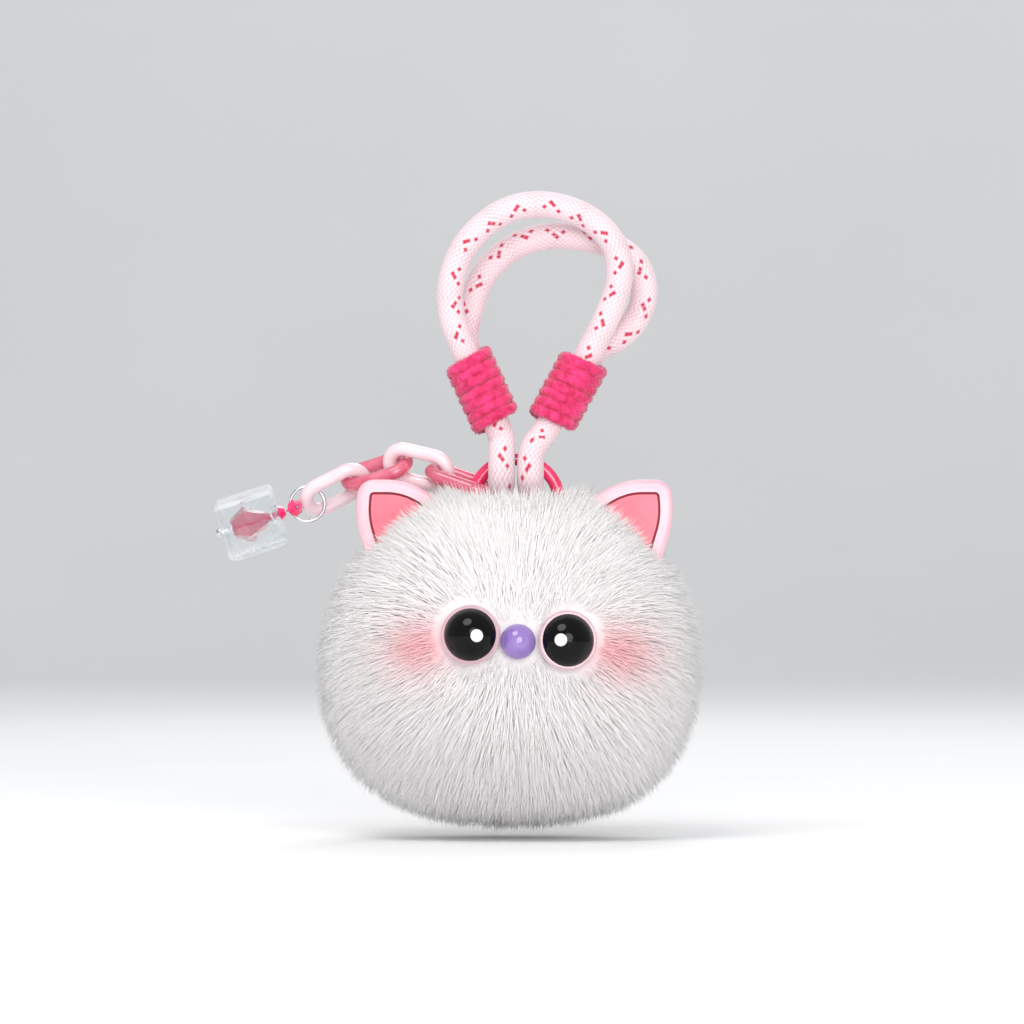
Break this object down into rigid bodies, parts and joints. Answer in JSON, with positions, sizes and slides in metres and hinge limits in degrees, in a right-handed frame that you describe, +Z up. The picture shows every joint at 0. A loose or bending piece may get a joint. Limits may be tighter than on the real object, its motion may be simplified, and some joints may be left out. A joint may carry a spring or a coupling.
{
  "type": "plush keychain",
  "caption": "Long-pile plush cat head keychain: folded rope loop with two whippings, pink gate ring, soft ears, button eyes and an acrylic link chain with a crystal charm.",
  "frame": {"origin": "the point inside the crown of the rope loop where a hook bears, midway between the two strands", "axes": "+Z up, the face looks to -Y, +X to the right seen from in front"},
  "size_m": [0.0963, 0.0504, 0.1237],
  "materials": {
    "rope_braid": "braided cotton, near-white with pink flecks",
    "whipping_cord": "velvety hot-pink cord",
    "pink_enamel": "gloss enamel on steel",
    "spring_steel": "spring steel",
    "silver_wire": "polished",
    "long_pile": "long white faux fur with pink blush",
    "fibre_fill": "polyester fibre fill",
    "ribbon": "satin ribbon",
    "ear_vinyl": "soft vinyl, satin",
    "ear_inset": "soft vinyl, satin",
    "washer_plastic": "natural nylon",
    "eye_rim_clear": "clear pinkish acrylic",
    "eye_black": "high gloss",
    "eye_spark": "printed highlight",
    "nose_purple": "translucent gloss",
    "link_pink": "translucent pink acrylic",
    "link_white": "milky acrylic",
    "crystal_clear": "clear hammered acrylic",
    "crystal_pink": "pink faceted acrylic"
  },
  "bodies": {
    "loop": {"rope": "rope_braid", "wrap_left": "whipping_cord", "wrap_right": "whipping_cord"},
    "gate_ring": {"ring_body": "pink_enamel", "gate_pin": "spring_steel"},
    "gate": {"ring_gate": "pink_enamel", "gate_spring": "spring_steel"},
    "plush": {"cover_front": "long_pile", "cover_back": "long_pile", "stuffing": "fibre_fill", "hanging_tab": "ribbon", "nose": "nose_purple", "nose_washer": "washer_plastic", "eye_rim_left": "eye_rim_clear", "eye_dome_left": "eye_black", "eye_highlight_left": "eye_spark", "eye_washer_left": "washer_plastic", "ear_left": "ear_vinyl", "ear_panel_left": "ear_inset", "ear_washer_left": "washer_plastic", "eye_rim_right": "eye_rim_clear", "eye_dome_right": "eye_black", "eye_highlight_right": "eye_spark", "eye_washer_right": "washer_plastic", "ear_right": "ear_vinyl", "ear_panel_right": "ear_inset", "ear_washer_right": "washer_plastic"},
    "link_1": {"chain_link_1": "link_pink"},
    "link_2": {"chain_link_2": "link_white"},
    "link_3": {"chain_link_3": "link_pink"},
    "link_4": {"chain_link_4": "link_white"},
    "jump": {"jump_ring": "silver_wire"},
    "charm_pin": {"eye_pin": "silver_wire", "tail_bead": "crystal_pink"},
    "charm": {"crystal_shell": "crystal_clear", "crystal_core": "crystal_pink", "spacer_bead": "crystal_pink"}
  },
  "joints": [
    {"name": "ring_swing", "type": "hinge", "parent": "loop", "child": "gate_ring", "pos_m": [-0.006, 0, -0.0427], "axis": [1, 0, 0], "range_deg": [-12, 7]},
    {"name": "plush_nod", "type": "hinge", "parent": "gate_ring", "child": "plush", "pos_m": [-0.006, 0, -0.0593], "axis": [1, 0, 0], "range_deg": [-2, 12]},
    {"name": "gate_open", "type": "hinge", "parent": "gate_ring", "child": "gate", "pos_m": [-0.00165, 0, -0.05813], "axis": [0, -1, 0], "range_deg": [0, 20], "stiffness_Nm_per_rad": 0.01, "springref_deg": -11.46},
    {"name": "link_1_swing", "type": "hinge", "parent": "gate_ring", "child": "link_1", "pos_m": [-0.01401, 0, -0.0472], "axis": [0, 1, 0], "range_deg": [0, 4]},
    {"name": "link_2_swing", "type": "hinge", "parent": "link_1", "child": "link_2", "pos_m": [-0.0228, 0.0027, -0.04411], "axis": [0, 1, 0], "range_deg": [-1, 8]},
    {"name": "link_3_swing", "type": "hinge", "parent": "link_2", "child": "link_3", "pos_m": [-0.02812, 0.00538, -0.04235], "axis": [0, 1, 0], "range_deg": [-1, 6]},
    {"name": "link_4_swing", "type": "hinge", "parent": "link_3", "child": "link_4", "pos_m": [-0.04005, 0.00743, -0.0462], "axis": [0, 1, 0], "range_deg": [-1, 6]},
    {"name": "jump_ring_swing", "type": "hinge", "parent": "link_4", "child": "jump", "pos_m": [-0.04817, 0.00745, -0.05088], "axis": [0, 1, 0], "range_deg": [-6, 10]},
    {"name": "charm_swing", "type": "hinge", "parent": "jump", "child": "charm_pin", "pos_m": [-0.0515, 0.00745, -0.05197], "axis": [0, 1, 0], "range_deg": [-12, 20]},
    {"name": "crystal_spin", "type": "hinge", "parent": "charm_pin", "child": "charm", "pos_m": [-0.05967, 0.00745, -0.05464], "axis": [-0.9507, 0, -0.3102], "continuous": true}
  ]
}
